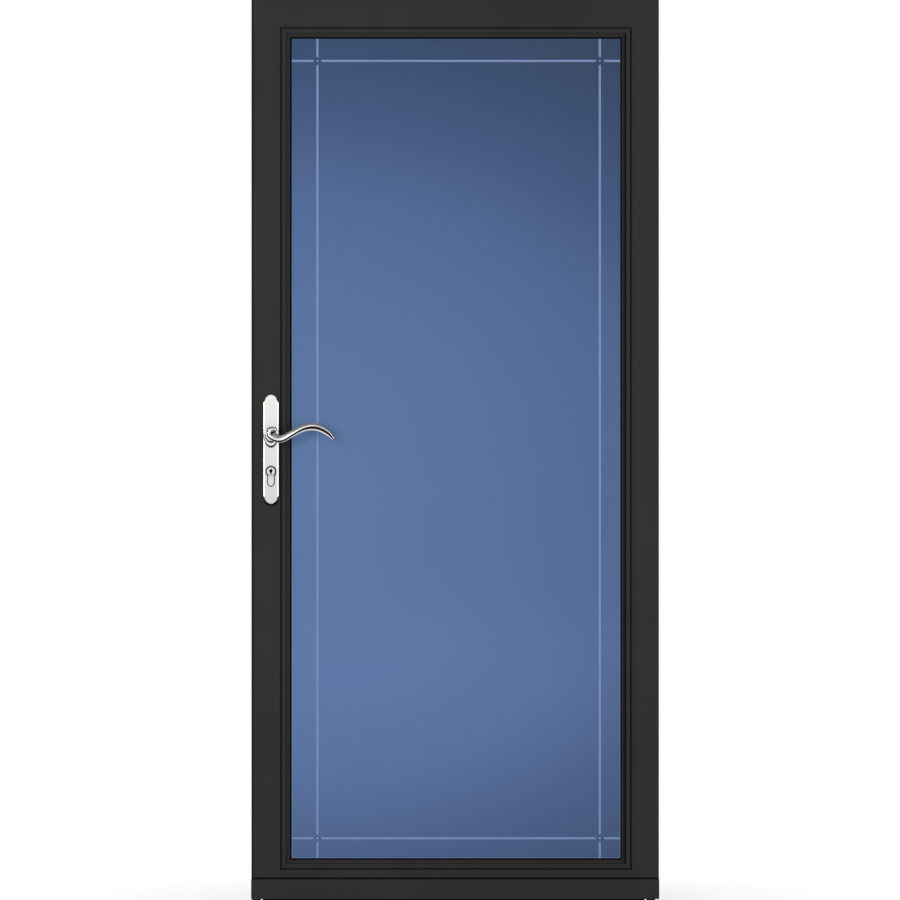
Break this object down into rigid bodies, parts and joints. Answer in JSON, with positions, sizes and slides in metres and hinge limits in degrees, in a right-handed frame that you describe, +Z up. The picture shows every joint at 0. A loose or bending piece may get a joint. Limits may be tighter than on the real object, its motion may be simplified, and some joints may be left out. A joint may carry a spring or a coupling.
{
  "type": "aluminium storm door",
  "caption": "Full-view storm door: tempered glass with ground border lines in a black aluminium leaf, hung on a full-length hinge in its surface frame, with a lever lock.",
  "frame": {"origin": "on the wall side of the hinge rail's flange, halfway across it, at the sill", "axes": "+X to the right seen from outside, +Y into the house and through the wall, +Z up"},
  "size_m": [0.9158, 0.13, 2.049],
  "materials": {
    "frame_paint": "satin",
    "leaf_paint": "satin",
    "moulding_paint": "satin",
    "glazing": "gloss",
    "gasket_vinyl": "matte",
    "weather_pile": "matte",
    "satin_nickel": "satin",
    "hinge_metal": "satin",
    "pin_steel": "satin",
    "lock_steel": "satin"
  },
  "bodies": {
    "door_frame": {"hinge_rail": "frame_paint", "latch_rail": "frame_paint", "header_rail": "frame_paint", "hinge_rail_pile": "weather_pile", "latch_rail_pile": "weather_pile", "header_pile": "weather_pile", "strike_plate": "lock_steel", "hinge_fixed_leaf": "hinge_metal", "hinge_pin": "pin_steel"},
    "door_leaf": {"hinge_moving_leaf": "hinge_metal", "latch_stile": "leaf_paint", "hinge_stile": "leaf_paint", "top_rail": "leaf_paint", "bottom_rail": "leaf_paint", "front_moulding_left": "moulding_paint", "front_moulding_right": "moulding_paint", "front_moulding_top": "moulding_paint", "front_moulding_bottom": "moulding_paint", "inside_retainer_left": "moulding_paint", "inside_retainer_right": "moulding_paint", "inside_retainer_top": "moulding_paint", "inside_retainer_bottom": "moulding_paint", "glass_pane": "glazing", "outer_gasket": "gasket_vinyl", "inner_gasket": "gasket_vinyl", "bottom_expander": "leaf_paint", "bottom_sweep": "gasket_vinyl", "expander_seal": "gasket_vinyl", "lock_case": "lock_steel", "lock_faceplate": "lock_steel", "latch_bolt": "lock_steel", "deadbolt": "lock_steel", "outside_plate": "satin_nickel", "inside_plate": "satin_nickel", "key_cylinder": "satin_nickel", "thumb_turn": "satin_nickel"},
    "lever_set": {"outside_lever": "satin_nickel", "inside_lever": "satin_nickel", "lever_spindle": "lock_steel"},
    "lock_plug": {"key_plug": "satin_nickel"}
  },
  "joints": [
    {"name": "door_swing", "type": "hinge", "parent": "door_frame", "child": "door_leaf", "pos_m": [0.0122, -0.0052, 1], "axis": [0, 0, 1], "range_deg": [0, 95]},
    {"name": "lever_turn", "type": "hinge", "parent": "door_leaf", "child": "lever_set", "pos_m": [-0.8544, 0.0052, 1.057], "axis": [0, 1, 0], "range_deg": [0, 45], "stiffness_Nm_per_rad": 1.2, "springref_deg": -34.38},
    {"name": "key_plug_turn", "type": "hinge", "parent": "door_leaf", "child": "lock_plug", "pos_m": [-0.8544, -0.0108, 0.9715], "axis": [0, 1, 0], "range_deg": [-90, 90]}
  ]
}
